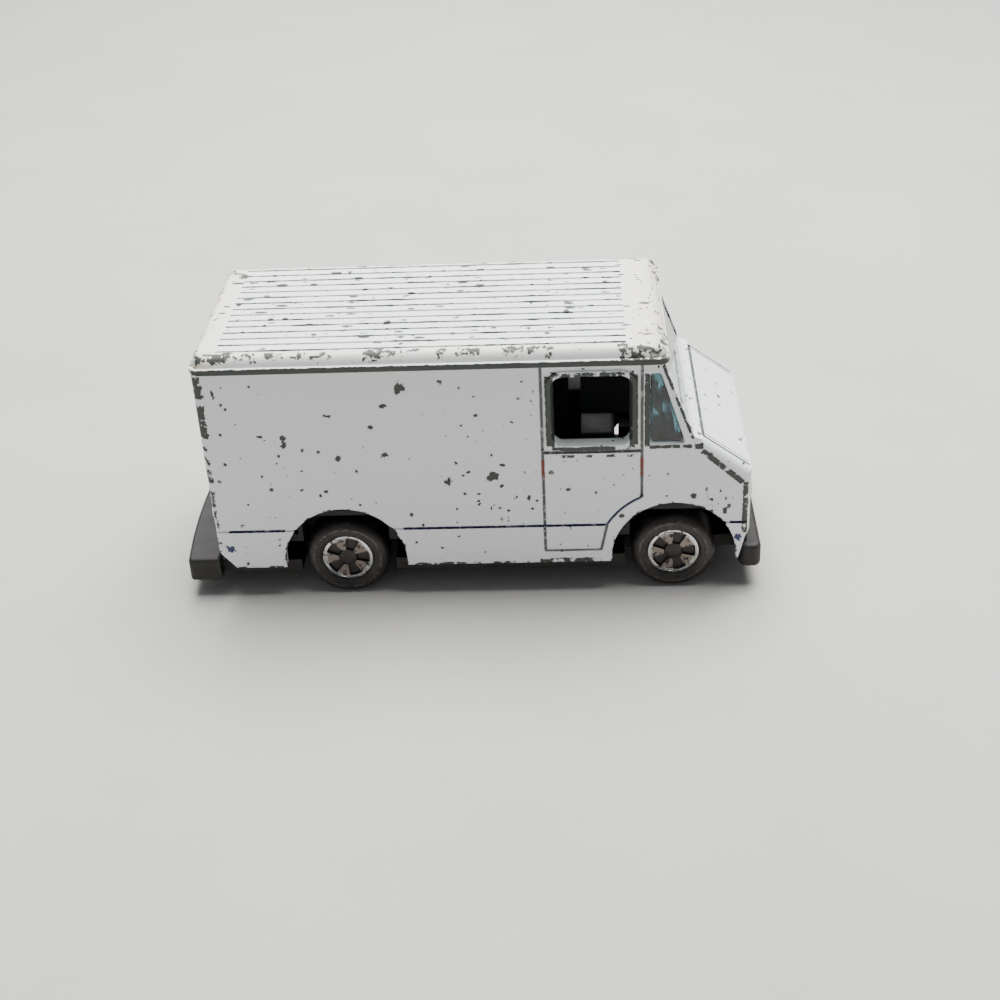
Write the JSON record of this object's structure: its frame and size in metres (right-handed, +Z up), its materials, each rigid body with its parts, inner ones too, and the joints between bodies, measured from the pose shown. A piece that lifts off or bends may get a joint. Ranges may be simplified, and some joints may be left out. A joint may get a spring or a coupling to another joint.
{
  "type": "toy delivery van",
  "caption": "Small die-cast toy step van with ribbed roof, cast doors, opening rear leaves, black base with bumpers, tinted glazing and free-rolling wheels.",
  "frame": {"origin": "on the ground under the middle of the van's length and width", "axes": "+X to the front, +Y to the left side, +Z up"},
  "size_m": [0.0748, 0.0284, 0.0349],
  "materials": {
    "enamel_on_zinc": "gloss white enamel over zinc casting, chipped",
    "black_base_plastic": "moulded, rubbed",
    "tinted_glazing": "clear tinted moulding",
    "interior_plastic": "moulded",
    "axle_steel": "drawn wire",
    "wheel_plastic": "moulded, scuffed",
    "chrome_foil": "hot-stamped foil",
    "rear_door_plastic": "moulded"
  },
  "bodies": {
    "van_body": {"body_shell": "enamel_on_zinc", "base_plate": "black_base_plastic", "window_insert": "tinted_glazing", "interior_insert": "interior_plastic", "front_axle": "axle_steel", "rear_axle": "axle_steel"},
    "wheel_front_left": {"wheel_front_left": "wheel_plastic", "wheel_foil_front_left": "chrome_foil"},
    "wheel_front_right": {"wheel_front_right": "wheel_plastic", "wheel_foil_front_right": "chrome_foil"},
    "wheel_rear_left": {"wheel_rear_left": "wheel_plastic", "wheel_foil_rear_left": "chrome_foil"},
    "wheel_rear_right": {"wheel_rear_right": "wheel_plastic", "wheel_foil_rear_right": "chrome_foil"},
    "rear_door_left": {"rear_door_left": "rear_door_plastic"},
    "rear_door_right": {"rear_door_right": "rear_door_plastic"}
  },
  "joints": [
    {"name": "wheel_front_left_spin", "type": "hinge", "parent": "van_body", "child": "wheel_front_left", "pos_m": [0.0262, 0.0109, 0.00533], "axis": [0, 1, 0], "continuous": true},
    {"name": "wheel_front_right_spin", "type": "hinge", "parent": "van_body", "child": "wheel_front_right", "pos_m": [0.0262, -0.0109, 0.00533], "axis": [0, 1, 0], "continuous": true},
    {"name": "wheel_rear_left_spin", "type": "hinge", "parent": "van_body", "child": "wheel_rear_left", "pos_m": [-0.0158, 0.0109, 0.00533], "axis": [0, 1, 0], "continuous": true},
    {"name": "wheel_rear_right_spin", "type": "hinge", "parent": "van_body", "child": "wheel_rear_right", "pos_m": [-0.0158, -0.0109, 0.00533], "axis": [0, 1, 0], "continuous": true},
    {"name": "rear_door_left_swing", "type": "hinge", "parent": "van_body", "child": "rear_door_left", "pos_m": [-0.0317, 0.00905, 0.0205], "axis": [0, 0, -1], "range_deg": [0, 95]},
    {"name": "rear_door_right_swing", "type": "hinge", "parent": "van_body", "child": "rear_door_right", "pos_m": [-0.0317, -0.00905, 0.0205], "axis": [0, 0, 1], "range_deg": [0, 95]}
  ]
}
